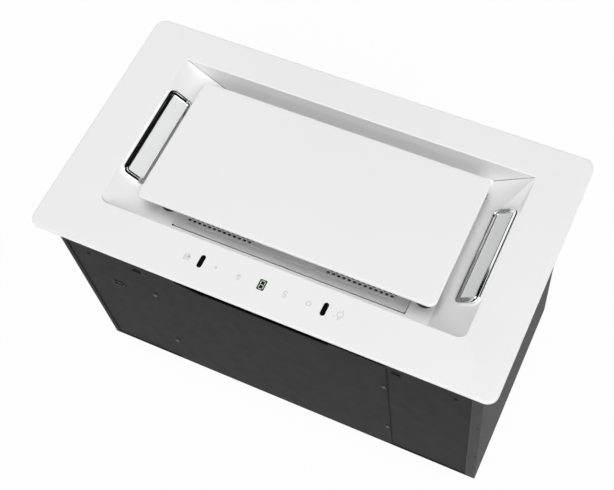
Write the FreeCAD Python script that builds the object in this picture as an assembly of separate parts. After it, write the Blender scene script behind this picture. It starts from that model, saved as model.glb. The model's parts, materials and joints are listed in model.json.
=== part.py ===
# Built-in extractor with a flush centre panel, lying face up.
# Frame: millimetres, X along the width, -Y towards the control side, +Z out of the face.
# The origin is the middle of the plane on which the face plate's lip seats in its cut-out.

import FreeCAD, Part
import math
import os

V = FreeCAD.Vector

# ---- face plate and its pressed recess ----
face_width = 520.0
face_span = 291.4
face_thickness = 3.0
face_corner_radius = 12.0
face_edge_radius = 2.0
recess_width = 412.0
recess_span = 197.0
recess_centre_x = 3.0
recess_centre_y = 6.0
recess_corner_radius = 10.0
recess_rear_corner_radius = 2.0
recess_depth = 35.0
recess_rim_radius = 1.2
slope_run = 45.0
pressed_sheet = 1.5

# ---- centre panel, its hinges and catches ----
panel_width = 339.0
panel_span = 158.5
panel_drop = 0.5
panel_edge_height = 2.5
panel_corner_radius = 8.0
panel_edge_radius = 1.8
panel_sheet = 1.2
hinge_inset = 10.25
hinge_height = 15.0
hinge_pin_radius = 2.0
hinge_pin_clearance = 0.05
hinge_head_radius = 3.4
hinge_head_length = 2.0
hinge_strap = 2.0
hinge_strap_span = 12.0
hinge_side_gap = 2.5
hinge_strap_gap = 6.5
hinge_foot_length = 14.0
hinge_leaf_sheet = 1.2
hinge_leaf_length = 28.0
catch_x = 148.5
catch_inset = 22.5
catch_radius = 11.5
catch_height = 12.0
catch_socket_radius = 4.2
catch_socket_depth = 8.0
stud_radius = 3.0
stud_reach = 6.0
stud_collar_radius = 6.0
stud_collar_height = 4.7
seat_gap = 0.3

# ---- grease filter ----
filter_width = 270.0
filter_span = 162.0
filter_thickness = 9.0
filter_proud = 1.0
filter_gap = 0.8
filter_corner_radius = 2.5
filter_frame_bar = 9.5
filter_frame_slope = 2.0
filter_frame_lip = 1.0
filter_frame_lip_width = 16.0
filter_screen_sheet = 1.2
filter_core_gap = 0.3
perforated_width = 80.0
plain_band_width = 84.0
hole_radius = 1.8
hole_pitch = 6.0
hole_row_pitch = 3.5
perforation_margin = 1.4
seat_flange = 8.0
seat_sheet = 1.5
seat_ledge = 7.0
clip_length = 11.0
clip_height = 4.0
clip_span = 26.0
handle_width = 50.0
handle_depth = 18.0
handle_wire_radius = 1.5
handle_pivot_y = -40.0
handle_lug_width = 6.0
handle_lug_span = 8.0
handle_wire_clearance = 0.05
handle_lift = 0.7

# ---- lamps on the sloping ends ----
lamp_length = 116.6
lamp_width = 33.6
lamp_offset_y = -0.3
lamp_down_slope = 2.4
bezel_bar = 5.0
bezel_height = 3.0
bezel_corner_radius = 7.0
bezel_edge_radius = 1.3
lens_thickness = 2.0
lens_tuck = 1.0
lens_gap = 0.2
lamp_body_wall = 1.4
lamp_body_depth = 18.0
lamp_hole_gap = 0.5
led_board_depth = 9.0
board_sheet = 1.6
led_count = 8
led_size = 3.0

# ---- touch controls on the front margin ----
control_x = 1.5
control_y = -116.0
sensor_x = 69.2
sensor_length = 15.0
sensor_width = 5.4
window_reach = 3.0
window_gap = 0.05
display_width = 8.0
display_length = 12.0
display_step = 0.3
segment_bar = 0.8
segment_length = 3.7
segment_proud = 0.2
touch_board_length = 188.0
touch_board_span = 18.0
tray_length = 198.0
tray_span = 26.0
tray_depth = 13.0
tray_wall = 1.6
tray_shift_y = 3.2

# ---- casing ----
casing_width = 490.6
casing_span = 238.5
casing_front_y = -129.7
casing_bottom_z = -296.0
casing_sheet = 1.2
gasket_thickness = 1.5
top_flange = 12.0
right_front_flange = 12.0
left_front_flange = 6.0
rear_flange = 12.0
cover_centre_x = -4.0
cover_half_width = 144.0
cover_lap = 12.0
cover_top_z = -54.0
cover_notch_z = -56.5
cover_step_x = 76.0
cover_step_z = -49.5
cover_notch_x = -70.0
cover_shoulder_x = -105.0
cover_shoulder_z = -49.0
cover_screw_centre_x = -2.0
cover_screw_x = 138.7
cover_screw_heights = (-107.0, -232.5)
screw_head_radius = 2.9
screw_head_height = 1.6
screw_shank_radius = 1.6
screw_hole_gap = 0.1
fixing_hole_x = 216.0
fixing_hole_z = -65.0
fixing_hole_radius = 2.2
flange_hole_inset = 2.6
flange_hole_heights = (-121.0, -216.5)
flange_hole_radius = 1.5
spring_nut_x = -193.0
spring_nut_z = -120.7
spring_nut_length = 14.0
spring_nut_height = 8.0
hook_centre_x = -2.0
hook_x = 152.5
hook_z = -62.5
hook_width = 9.0
hook_height = 4.0
hook_proud = 1.6

# ---- blower ----
wheel_y = 10.0
wheel_z = -142.0
wheel_radius = 64.0
wheel_width = 112.0
wheel_blade_depth = 12.0
wheel_blade_sheet = 1.2
wheel_blade_count = 30
wheel_blade_lean = 35.0
wheel_ring_width = 3.0
wheel_disc_sheet = 2.0
wheel_hub_radius = 12.0
wheel_hub_length = 26.0
scroll_tongue_radius = 78.0
scroll_step = 12.0
scroll_width = 140.0
scroll_wall = 2.0
scroll_foot = 12.0
scroll_foot_sheet = 3.0
mouth_rear_y = 44.0
inlet_radius = 54.0
inlet_lip_radius = 62.0
inlet_lip_sheet = 2.0
inlet_neck_length = 8.0
inlet_neck_sheet = 1.5
shaft_radius = 4.0
shaft_start_x = -15.0
shaft_end_x = 134.0
motor_radius = 45.0
motor_length = 58.0
motor_wall = 2.5
motor_stator_gap = 0.3
motor_rotor_radius = 26.0
motor_air_gap = 0.8
motor_rotor_length = 34.0
bearing_radius = 11.0
bearing_length = 7.0
bearing_clearance = 0.05
bracket_sheet = 2.5
bracket_pad_height = 4.0
bracket_arm_width = 14.0
bracket_reach = 68.0
bracket_ring_inner = 34.0

# ---- outlet collar and non-return flaps ----
collar_outer_radius = 74.0
collar_wall = 2.0
collar_spigot_radius = 73.0
collar_length = 42.5
collar_flange_radius = 86.0
collar_flange_sheet = 2.5
collar_ledge = 3.0
collar_ledge_sheet = 1.5
outlet_hole_radius = 69.0
collar_screw_circle = 80.0
collar_screw_count = 4
flap_sheet = 1.6
flap_edge_gap = 1.5
flap_pin_radius = 1.5
flap_pin_clearance = 0.05
flap_knuckle_radius = 3.0
flap_knuckle_length = 22.0
flap_knuckle_gap = 0.5
flap_root_gap = 0.6

# ---- electrical parts inside ----
terminal_length = 70.0
terminal_span = 60.0
terminal_height = 34.0
terminal_wall = 2.0
terminal_lid_sheet = 2.0
terminal_x = -190.0
terminal_y = 55.0
capacitor_radius = 16.0
capacitor_length = 58.0
capacitor_x = -120.0
power_box_x = 190.0
power_box_y = -60.0
power_box_length = 80.0
power_box_span = 90.0
power_box_height = 32.0
gland_x = -190.0
gland_y = -40.0
gland_radius = 9.0
gland_bore = 4.0
gland_length = 16.0
gland_nut_radius = 12.0
gland_nut_height = 6.0

# ---- places worked out from the sizes above ----
face_top = face_thickness
floor_z = face_top - recess_depth
recess_front = recess_centre_y - recess_span / 2
recess_rear = recess_centre_y + recess_span / 2
slope_angle = math.degrees(math.atan2(recess_depth, slope_run))
panel_top = face_top - panel_drop
panel_under = panel_top - panel_sheet
panel_front = recess_centre_y - panel_span / 2
panel_rear = recess_centre_y + panel_span / 2
hinge_y = panel_rear - hinge_inset
hinge_z = floor_z + hinge_height
catch_y = panel_front + catch_inset
filter_top = floor_z + filter_proud
filter_bottom = filter_top - filter_thickness
screen_top = filter_top - filter_frame_slope
filter_opening_x = filter_width / 2 + filter_gap
filter_opening_y = filter_span / 2 + filter_gap
handle_z = screen_top + handle_wire_radius + handle_lift
casing_rear_y = casing_front_y + casing_span
casing_side_x = casing_width / 2
wall_top = -gasket_thickness
base_top = casing_bottom_z + casing_sheet
scroll_side = scroll_width / 2
scroll_front = wheel_y - 3 * scroll_step - scroll_tongue_radius
collar_y = (scroll_front + mouth_rear_y) / 2
collar_top = casing_bottom_z - collar_flange_sheet
collar_inner = collar_outer_radius - collar_wall
ledge_z = collar_top - collar_ledge_sheet
flap_pin_z = ledge_z - seat_gap - flap_sheet / 2
motor_start = scroll_side + bracket_pad_height + bracket_sheet
motor_end = motor_start + motor_length


def box(x0, x1, y0, y1, z0, z1):
    return Part.makeBox(x1 - x0, y1 - y0, z1 - z0, V(x0, y0, z0))


def centred_box(x, y, width, span, z0, z1):
    return box(x - width / 2, x + width / 2, y - span / 2, y + span / 2, z0, z1)


def upright(radius, height, x, y, z):
    return Part.makeCylinder(radius, height, V(x, y, z))


def along_x(radius, x0, x1, y, z):
    return Part.makeCylinder(radius, x1 - x0, V(x0, y, z), V(1, 0, 0))


def along_y(radius, y0, y1, x, z):
    return Part.makeCylinder(radius, y1 - y0, V(x, y0, z), V(0, 1, 0))


def prism(points, direction):
    wire = Part.makePolygon(points + [points[0]])
    return Part.Face(wire).extrude(direction)


def rounded_outline(x, y, width, span, radius, z):
    """Closed outline of a rectangle with round corners, flat at height z."""
    half_x = width / 2 - radius
    half_y = span / 2 - radius
    edges = []
    corners = ((1, 1, 0), (-1, 1, 90), (-1, -1, 180), (1, -1, 270))
    for side_x, side_y, start in corners:
        centre = V(x + side_x * half_x, y + side_y * half_y, z)
        points = []
        for turn in (0, 45, 90):
            angle = math.radians(start + turn)
            points.append(centre + V(radius * math.cos(angle), radius * math.sin(angle), 0))
        edges.append(Part.Arc(points[0], points[1], points[2]).toShape())
    outline = []
    for index, arc in enumerate(edges):
        following = edges[(index + 1) % len(edges)]
        outline.append(arc)
        start = arc.lastVertex().Point
        end = following.firstVertex().Point
        if start.distanceToPoint(end) > 0.001:
            outline.append(Part.LineSegment(start, end).toShape())
    return Part.Wire(outline)


def rounded_block(x, y, width, span, radius, z0, z1):
    face = Part.Face(rounded_outline(x, y, width, span, radius, z0))
    return face.extrude(V(0, 0, z1 - z0))


def edges_at_height(shape, z):
    found = []
    for edge in shape.Edges:
        bounds = edge.BoundBox
        if abs(bounds.ZMin - z) < 0.01 and abs(bounds.ZMax - z) < 0.01:
            found.append(edge)
    return found


def rounded_on_top(shape, z, radius):
    return shape.makeFillet(radius, edges_at_height(shape, z))


def both_sides(make):
    """The same piece made for the left side and for the right side."""
    return Part.makeCompound([make(-1), make(1)])


# ---- face plate ----

def recess_walls(growth, bottom, height):
    """Upright walls of the recess, with round front corners and tight folded rear ones."""
    width = recess_width + 2 * growth
    span = recess_rear - recess_front + 2 * growth
    walls = []
    for side, radius in ((-1, recess_corner_radius), (1, recess_rear_corner_radius)):
        block = rounded_block(recess_centre_x, recess_centre_y, width, span, radius + growth,
                              bottom, bottom + height)
        half = centred_box(recess_centre_x, recess_centre_y + side * span / 2, width + 2, span,
                           bottom - 1, bottom + height + 1)
        walls.append(block.common(half))
    return walls[0].fuse(walls[1]).removeSplitter()


def recess_space(growth):
    """The recess, grown outwards by the sheet's thickness for the outside of the pressing."""
    middle = recess_centre_x
    half = recess_width / 2 + growth
    bottom = floor_z - growth
    foot = recess_width / 2 - slope_run + growth
    y0 = recess_front - growth
    y1 = recess_rear + growth
    rise = face_top + 1 - floor_z
    spread = half + slope_run / recess_depth
    points = [V(middle - foot, y0, bottom), V(middle + foot, y0, bottom),
              V(middle + spread, y0, face_top + 1), V(middle - spread, y0, face_top + 1)]
    trough = prism(points, V(0, y1 - y0, 0))
    return trough.common(recess_walls(growth, bottom, rise + 2 * growth))


def lamp_place(shape, side):
    """Turn a piece drawn flat about the origin onto the slope of one side."""
    middle = lamp_down_slope + lamp_width / 2
    angle = math.radians(slope_angle)
    x = recess_width / 2 - middle * math.cos(angle)
    z = face_top - middle * math.sin(angle)
    placed = shape.copy()
    placed.rotate(V(0, 0, 0), V(0, 1, 0), -side * slope_angle)
    placed.translate(V(recess_centre_x + side * x, recess_centre_y + lamp_offset_y, z))
    return placed


def lamp_hole_size():
    width = lamp_width - 2 * bezel_bar + 2 * lamp_body_wall + 2 * lamp_hole_gap
    length = lamp_length - 2 * bezel_bar + 2 * lamp_body_wall + 2 * lamp_hole_gap
    return width, length


def stadium(x, y, width, length, z0, z1):
    return rounded_block(x, y, width, length, width / 2, z0, z1)


def display_block(growth, z0, z1):
    return rounded_block(control_x, control_y, display_width + 2 * growth,
                         display_length + 2 * growth, 1.2, z0, z1)


def face_plate():
    plate = rounded_block(0, 0, face_width, face_span, face_corner_radius, 0, face_top)
    plate = rounded_on_top(plate, face_top, face_edge_radius)
    shell = recess_space(pressed_sheet)
    shell = shell.common(centred_box(0, 0, face_width, face_span, floor_z - 10, face_top - 0.5))
    body = plate.fuse(shell).cut(recess_space(0))
    body = body.cut(centred_box(recess_centre_x, recess_centre_y, 2 * filter_opening_x, 2 * filter_opening_y,
                                floor_z - 10, floor_z + 1))
    width, length = lamp_hole_size()
    hole = centred_box(0, 0, width, length, -10, 4)
    for side in (-1, 1):
        body = body.cut(lamp_place(hole, side))
        body = body.cut(stadium(control_x + side * sensor_x, control_y, sensor_width + 2 * window_gap,
                                sensor_length + 2 * window_gap, -1, face_top + 1))
    body = body.cut(display_block(window_gap, -1, face_top + 1))
    rim = []
    for edge in edges_at_height(body, face_top):
        bounds = edge.BoundBox
        level = bounds.YLength < 0.01
        if level and bounds.YMin > recess_front - 0.1 and bounds.YMax < recess_rear + 0.1:
            if bounds.XLength > recess_width / 2:
                rim.append(edge)
    return body.makeFillet(recess_rim_radius, rim)


def gasket():
    """Foam strips between the casing's top flanges and the face plate."""
    front = casing_front_y
    rear = casing_rear_y
    strips = []
    for side in (-1, 1):
        outer = side * casing_side_x
        inner = side * (casing_side_x - top_flange)
        strips.append(box(min(outer, inner), max(outer, inner), front, rear, wall_top, 0))
        near = cover_centre_x + side * (cover_half_width - cover_lap)
        strips.append(box(min(near, inner), max(near, inner), front + casing_sheet,
                          front + casing_sheet + top_flange, wall_top, 0))
    reach = casing_side_x - top_flange
    strips.append(box(-reach, reach, rear - 2 * casing_sheet, rear, wall_top, 0))
    return Part.makeCompound(strips)


# ---- centre panel and its hinges ----

def centre_panel():
    bottom = panel_top - panel_edge_height
    outer = rounded_block(0, recess_centre_y, panel_width, panel_span, panel_corner_radius,
                          bottom, panel_top)
    outer = rounded_on_top(outer, panel_top, panel_edge_radius)
    inner = rounded_block(0, recess_centre_y, panel_width - 2 * panel_sheet,
                          panel_span - 2 * panel_sheet, panel_corner_radius - panel_sheet,
                          bottom - 1, panel_under)
    inner = rounded_on_top(inner, panel_under, panel_edge_radius - panel_sheet)
    return outer.cut(inner)


def hinge_strap_x():
    """Outer faces of the panel's strap and of the bracket's strap, from the middle."""
    panel_strap = panel_width / 2 - panel_sheet - hinge_side_gap
    bracket_strap = panel_strap - hinge_strap - hinge_strap_gap
    return panel_strap, bracket_strap


def side_box(side, x0, x1, y0, y1, z0, z1):
    return box(min(side * x0, side * x1), max(side * x0, side * x1), y0, y1, z0, z1)


def pin_hole(radius):
    return along_x(radius, -panel_width, panel_width, hinge_y, hinge_z)


def hinge_brackets():
    outer = hinge_strap_x()[1]
    y0 = hinge_y - hinge_strap_span / 2
    y1 = hinge_y + hinge_strap_span / 2

    def one(side):
        foot = side_box(side, outer - hinge_foot_length, outer, y0 - 2, y1 + 2, floor_z,
                        floor_z + hinge_strap)
        strap = side_box(side, outer - hinge_strap, outer, y0, y1, floor_z,
                         hinge_z + hinge_strap_span / 2)
        return foot.fuse(strap).cut(pin_hole(hinge_pin_radius + hinge_pin_clearance))

    return both_sides(one)


def hinge_pins():
    panel_strap, bracket_strap = hinge_strap_x()

    def one(side):
        start = bracket_strap - hinge_strap - 1
        end = panel_strap + 0.5
        shank = along_x(hinge_pin_radius, start, end, hinge_y, hinge_z)
        head = along_x(hinge_head_radius, end, end + hinge_head_length, hinge_y, hinge_z)
        pin = shank.fuse(head)
        if side < 0:
            pin = pin.mirror(V(0, 0, 0), V(1, 0, 0))
        return pin

    return both_sides(one)


def panel_arms():
    outer = hinge_strap_x()[0]
    y0 = hinge_y - hinge_strap_span / 2
    y1 = hinge_y + hinge_strap_span / 2

    def one(side):
        leaf = side_box(side, outer - hinge_foot_length, outer, y1 - hinge_leaf_length, y1,
                        panel_under - hinge_leaf_sheet, panel_under)
        strap = side_box(side, outer - hinge_strap, outer, y0, y1,
                         hinge_z - hinge_strap_span / 2, panel_under)
        return leaf.fuse(strap).cut(pin_hole(hinge_pin_radius + hinge_pin_clearance))

    return both_sides(one)


def panel_catches():
    def one(side):
        x = recess_centre_x + side * catch_x
        body = upright(catch_radius, catch_height, x, catch_y, floor_z)
        body = rounded_on_top(body, floor_z + catch_height, 1.0)
        return body.cut(upright(catch_socket_radius, catch_socket_depth + 1, x, catch_y,
                                floor_z + catch_height - catch_socket_depth))

    return both_sides(one)


def panel_studs():
    shoulder = floor_z + catch_height + seat_gap

    def one(side):
        x = recess_centre_x + side * catch_x
        stud = upright(stud_radius, panel_under - shoulder + stud_reach, x, catch_y,
                       shoulder - stud_reach)
        collar = upright(stud_collar_radius, stud_collar_height, x, catch_y, shoulder)
        foot = upright(stud_collar_radius, hinge_leaf_sheet, x, catch_y,
                       panel_under - hinge_leaf_sheet)
        return stud.fuse(collar).fuse(foot)

    return both_sides(one)


# ---- grease filter ----

def filter_frame():
    x = recess_centre_x
    outer = rounded_block(x, recess_centre_y, filter_width, filter_span, filter_corner_radius,
                          filter_bottom, filter_top)
    inner_width = filter_width - 2 * filter_frame_bar
    inner_span = filter_span - 2 * filter_frame_bar
    low = rectangle(inner_width, inner_span, screen_top)
    high = rectangle(filter_width, filter_span, filter_top)
    dish = Part.makeLoft([low, high], True, True)
    frame = outer.cut(dish)
    frame = frame.cut(centred_box(x, recess_centre_y, inner_width, inner_span,
                                  filter_bottom + filter_frame_lip, filter_top + 1))
    return frame.cut(centred_box(x, recess_centre_y, filter_width - 2 * filter_frame_lip_width,
                                 filter_span - 2 * filter_frame_lip_width,
                                 filter_bottom - 1, filter_top + 1))


def rectangle(width, span, z):
    x = recess_centre_x
    y = recess_centre_y
    corners = ((-1, -1), (1, -1), (1, 1), (-1, 1))
    points = [V(x + sx * width / 2, y + sy * span / 2, z) for sx, sy in corners]
    return Part.makePolygon(points + [points[0]])


def perforation_holes(z):
    """Staggered round holes in two fields, one each side of the plain middle band."""
    span = filter_span - 2 * filter_frame_bar - 2 * perforation_margin
    rows = int((span - 2 * hole_radius) / hole_row_pitch) + 1
    first_y = recess_centre_y - (rows - 1) * hole_row_pitch / 2
    wires = []
    for side in (-1, 1):
        middle = recess_centre_x + side * (plain_band_width + perforated_width) / 2
        for row in range(rows):
            shift = hole_pitch / 2 if row % 2 else 0
            room = perforated_width - 2 * hole_radius - shift
            count = int(room / hole_pitch) + 1
            first_x = middle - (perforated_width / 2 - hole_radius) + shift
            for column in range(count):
                centre = V(first_x + column * hole_pitch, first_y + row * hole_row_pitch, z)
                wires.append(Part.Wire(Part.makeCircle(hole_radius, centre)))
    return wires


def filter_screen():
    bottom = screen_top - filter_screen_sheet
    outline = rectangle(filter_width - 2 * filter_frame_bar, filter_span - 2 * filter_frame_bar, bottom)
    wires = [outline] + perforation_holes(bottom)
    face = Part.makeFace(wires, "Part::FaceMakerBullseye")
    return face.extrude(V(0, 0, filter_screen_sheet))


def filter_core():
    top = screen_top - filter_screen_sheet - filter_core_gap
    bottom = filter_bottom + filter_frame_lip + filter_core_gap
    trim = 2 * filter_frame_bar + 2 * filter_core_gap
    return centred_box(recess_centre_x, recess_centre_y, filter_width - trim, filter_span - trim,
                       bottom, top)


def filter_seat():
    """Rim under the recess floor that the filter drops into."""
    x = recess_centre_x
    top = floor_z - pressed_sheet
    ledge_top = filter_bottom - seat_gap
    opening_width = 2 * filter_opening_x
    opening_span = 2 * filter_opening_y
    flange = centred_box(x, recess_centre_y, opening_width + 2 * seat_flange,
                         opening_span + 2 * seat_flange, top - seat_sheet, top)
    lip = centred_box(x, recess_centre_y, opening_width + 2 * seat_sheet,
                      opening_span + 2 * seat_sheet, ledge_top - seat_sheet, top)
    seat = flange.fuse(lip)
    seat = seat.cut(centred_box(x, recess_centre_y, opening_width, opening_span,
                                ledge_top, top + 1))
    return seat.cut(centred_box(x, recess_centre_y, opening_width - 2 * seat_ledge,
                                opening_span - 2 * seat_ledge, ledge_top - 10, top + 1))


def filter_clips():
    """Leaf clips on the recess floor that press on the ends of the filter frame."""
    def one(side):
        nose = side * recess_centre_x + filter_width / 2 + seat_gap
        foot = side * recess_centre_x + filter_opening_x
        y0 = recess_centre_y - clip_span / 2
        y1 = recess_centre_y + clip_span / 2
        base = side_box(side, foot, foot + clip_length, y0, y1, floor_z, floor_z + 1)
        riser = side_box(side, foot, foot + 2, y0, y1, floor_z, floor_z + clip_height)
        tip = side_box(side, nose, foot + 1, y0, y1, floor_z + clip_height - 3.6,
                       floor_z + clip_height)
        return base.fuse(riser).fuse(tip).removeSplitter()

    return both_sides(one)


def handle_lugs():
    bore = handle_wire_radius + handle_wire_clearance

    def one(side):
        inner = handle_width / 2 - handle_wire_radius - 1 - handle_lug_width
        inner = side * recess_centre_x + inner
        block = side_box(side, inner, inner + handle_lug_width,
                         handle_pivot_y - handle_lug_span / 2, handle_pivot_y + handle_lug_span / 2,
                         screen_top, handle_z + handle_wire_radius + 1.2)
        return block.cut(along_x(bore, -handle_width, handle_width, handle_pivot_y, handle_z))

    return both_sides(one)


def filter_handle():
    """Wire bail, folded flat towards the rear."""
    x = recess_centre_x
    half = handle_width / 2
    radius = handle_wire_radius
    far = handle_pivot_y + handle_depth
    stub = half - radius - 1 - handle_lug_width
    pieces = [along_x(radius, x - half, x + half, far, handle_z)]
    for side in (-1, 1):
        start = x + min(side * stub, side * half)
        end = x + max(side * stub, side * half)
        pieces.append(along_x(radius, start, end, handle_pivot_y, handle_z))
        pieces.append(along_y(radius, handle_pivot_y, far, x + side * half, handle_z))
        for y in (handle_pivot_y, far):
            pieces.append(Part.makeSphere(radius, V(x + side * half, y, handle_z)))
    return pieces[0].multiFuse(pieces[1:])


# ---- lamps ----

def lamp_bezel(side):
    ring = rounded_block(0, 0, lamp_width, lamp_length, bezel_corner_radius, 0, bezel_height)
    ring = rounded_on_top(ring, bezel_height, bezel_edge_radius)
    opening_width = lamp_width - 2 * bezel_bar
    opening_length = lamp_length - 2 * bezel_bar
    ring = ring.cut(rounded_block(0, 0, opening_width, opening_length,
                                  bezel_corner_radius - bezel_bar / 2, -1, bezel_height + 1))
    pocket = lens_thickness + lens_gap
    ring = ring.cut(rounded_block(0, 0, opening_width + 2 * lens_tuck, opening_length + 2 * lens_tuck,
                                  bezel_corner_radius - bezel_bar / 2, -1, pocket))
    return lamp_place(ring, side)


def lamp_lens(side):
    reach = lens_tuck - lens_gap
    lens = rounded_block(0, 0, lamp_width - 2 * bezel_bar + 2 * reach,
                         lamp_length - 2 * bezel_bar + 2 * reach,
                         bezel_corner_radius - bezel_bar / 2, 0, lens_thickness)
    return lamp_place(lens, side)


def lamp_body(side):
    width = lamp_width - 2 * bezel_bar
    length = lamp_length - 2 * bezel_bar
    tray = centred_box(0, 0, width + 2 * lamp_body_wall, length + 2 * lamp_body_wall,
                       -lamp_body_depth, 0)
    tray = tray.cut(centred_box(0, 0, width, length, lamp_body_wall - lamp_body_depth, 1))
    return lamp_place(tray, side)


def led_board(side):
    width = lamp_width - 2 * bezel_bar
    length = lamp_length - 2 * bezel_bar
    board = centred_box(0, 0, width, length, -led_board_depth - board_sheet, -led_board_depth)
    pitch = length / led_count
    for index in range(led_count):
        y = (index - (led_count - 1) / 2) * pitch
        chip = centred_box(0, y, led_size, led_size, -led_board_depth, 1 - led_board_depth)
        board = board.fuse(chip)
    return lamp_place(board, side)


# ---- touch controls ----

def sensor_window(side):
    return stadium(control_x + side * sensor_x, control_y, sensor_width, sensor_length,
                   -window_reach, face_top)


def display_window():
    return display_block(0, -window_reach, face_top - display_step)


def display_segments():
    """Seven bars of one digit, on the display window."""
    bars = []
    z0 = face_top - display_step
    z1 = z0 + segment_proud
    across = segment_length / 2
    for row in (-1, 0, 1):
        y = control_y + row * (segment_length + segment_bar)
        bars.append(centred_box(control_x, y, segment_length, segment_bar, z0, z1))
    for side in (-1, 1):
        for row in (-1, 1):
            x = control_x + side * (across + segment_bar / 2 + 0.1)
            y = control_y + row * (segment_length + segment_bar) / 2
            bars.append(centred_box(x, y, segment_bar, segment_length, z0, z1))
    return Part.makeCompound(bars)


def touch_board():
    z1 = -window_reach
    return centred_box(0, control_y + tray_shift_y, touch_board_length, touch_board_span,
                       z1 - board_sheet, z1)


def control_tray():
    y = control_y + tray_shift_y
    outer = centred_box(0, y, tray_length, tray_span, -tray_depth, 0)
    outer = outer.cut(centred_box(0, y, tray_length - 2 * tray_wall, tray_span - 2 * tray_wall,
                                  tray_wall - tray_depth, 1))
    posts = []
    for side in (-1, 1):
        x = side * (touch_board_length / 2 - 8)
        posts.append(centred_box(x, y, 6, touch_board_span, tray_wall - tray_depth,
                                 -window_reach - board_sheet))
    return outer.multiFuse(posts)


# ---- casing ----

def side_wall(side, front_flange):
    """A side wall folded from sheet, with flanges over the front, over the rear and inwards on top."""
    outer = casing_side_x
    inner = outer - casing_sheet
    front = casing_front_y
    rear = casing_rear_y
    wall = side_box(side, inner, outer, front, rear, base_top, wall_top)
    lap = side_box(side, outer - front_flange, outer, front, front + casing_sheet, base_top, wall_top)
    back = side_box(side, outer - rear_flange, outer, rear - casing_sheet, rear, base_top, wall_top)
    top = side_box(side, outer - top_flange, outer, front, rear, wall_top - casing_sheet, wall_top)
    wall = wall.fuse(lap).fuse(back).fuse(top)
    if side > 0:
        x = outer - flange_hole_inset
        for z in flange_hole_heights:
            wall = wall.cut(along_y(flange_hole_radius, front - 1, front + casing_sheet + 0.6, x, z))
    return wall.removeSplitter()


def front_wall(side, front_flange):
    """Plain panel between a side wall and the service cover, set one sheet back."""
    y0 = casing_front_y + casing_sheet
    y1 = y0 + casing_sheet
    near = side * cover_centre_x + cover_half_width - cover_lap
    far = casing_side_x - casing_sheet
    panel = side_box(side, near, far, y0, y1, base_top, wall_top - casing_sheet)
    flange = side_box(side, near, casing_side_x - top_flange, y0, y0 + top_flange,
                      wall_top - casing_sheet, wall_top)
    panel = panel.fuse(flange)
    hole = fixing_hole_radius
    panel = panel.cut(along_y(hole, y0 - 1, y1 + 1, side * fixing_hole_x, fixing_hole_z))
    for z in cover_screw_heights:
        panel = panel.cut(along_y(screw_shank_radius + screw_hole_gap, y0 - 1, y1 + 1,
                                  cover_screw_centre_x + side * cover_screw_x, z))
    if side < 0:
        panel = panel.cut(oval_along_y(spring_nut_length, spring_nut_height, y0 - 1, y1 + 1))
    else:
        for z in flange_hole_heights:
            panel = panel.cut(along_y(flange_hole_radius, y0 - 1, y1 + 1,
                                      casing_side_x - flange_hole_inset, z))
    return panel.removeSplitter()


def oval_along_y(length, height, y0, y1):
    """A stadium lying along X at the spring nut's place, from y0 to y1."""
    radius = height / 2
    reach = length / 2 - radius
    middle = box(spring_nut_x - reach, spring_nut_x + reach, y0, y1,
                 spring_nut_z - radius, spring_nut_z + radius)
    ends = [along_y(radius, y0, y1, spring_nut_x + turn * reach, spring_nut_z) for turn in (-1, 1)]
    return middle.multiFuse(ends)


def spring_nut():
    """Black rim round the oval hole, with a steel nut's bridge across it."""
    front = casing_front_y + casing_sheet
    rear = front + casing_sheet
    rim = oval_along_y(spring_nut_length + 2, spring_nut_height + 2, front - 0.8, front)
    rim = rim.cut(oval_along_y(spring_nut_length - 2, spring_nut_height - 2, front - 2, front + 1))
    neck = oval_along_y(spring_nut_length, spring_nut_height, front, rear + 1)
    neck = neck.cut(oval_along_y(spring_nut_length - 2, spring_nut_height - 2, front - 2, rear + 2))
    bridge = box(spring_nut_x - 2.5, spring_nut_x + 2.5, front, rear,
                 spring_nut_z - spring_nut_height / 2 + 0.5, spring_nut_z + spring_nut_height / 2 - 0.5)
    return rim.fuse(neck).fuse(bridge).removeSplitter()


def cover_hooks():
    """Small bridges on the front panels, beside the service cover's upper corners."""
    y1 = casing_front_y + casing_sheet

    def one(side):
        x = hook_centre_x + side * hook_x
        outer = box(x - hook_width / 2, x + hook_width / 2, y1 - hook_proud, y1,
                    hook_z - hook_height / 2, hook_z + hook_height / 2)
        tunnel = box(x - hook_width / 2 + 1.5, x + hook_width / 2 - 1.5, y1 - hook_proud + 0.8, y1 + 1,
                     hook_z - hook_height, hook_z + hook_height)
        return outer.cut(tunnel)

    return both_sides(one)


def front_cover():
    y0 = casing_front_y
    left = cover_centre_x - cover_half_width
    right = cover_centre_x + cover_half_width
    points = [V(left, y0, base_top), V(right, y0, base_top), V(right, y0, cover_step_z),
              V(cover_step_x, y0, cover_step_z), V(cover_step_x, y0, cover_top_z),
              V(cover_notch_x, y0, cover_top_z), V(cover_notch_x, y0, cover_notch_z),
              V(cover_shoulder_x, y0, cover_shoulder_z), V(cover_shoulder_x, y0, wall_top),
              V(left, y0, wall_top)]
    cover = prism(points, V(0, casing_sheet, 0))
    for side in (-1, 1):
        for z in cover_screw_heights:
            cover = cover.cut(along_y(screw_shank_radius + screw_hole_gap, y0 - 1,
                                      y0 + casing_sheet + 1,
                                      cover_screw_centre_x + side * cover_screw_x, z))
    return cover


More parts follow.
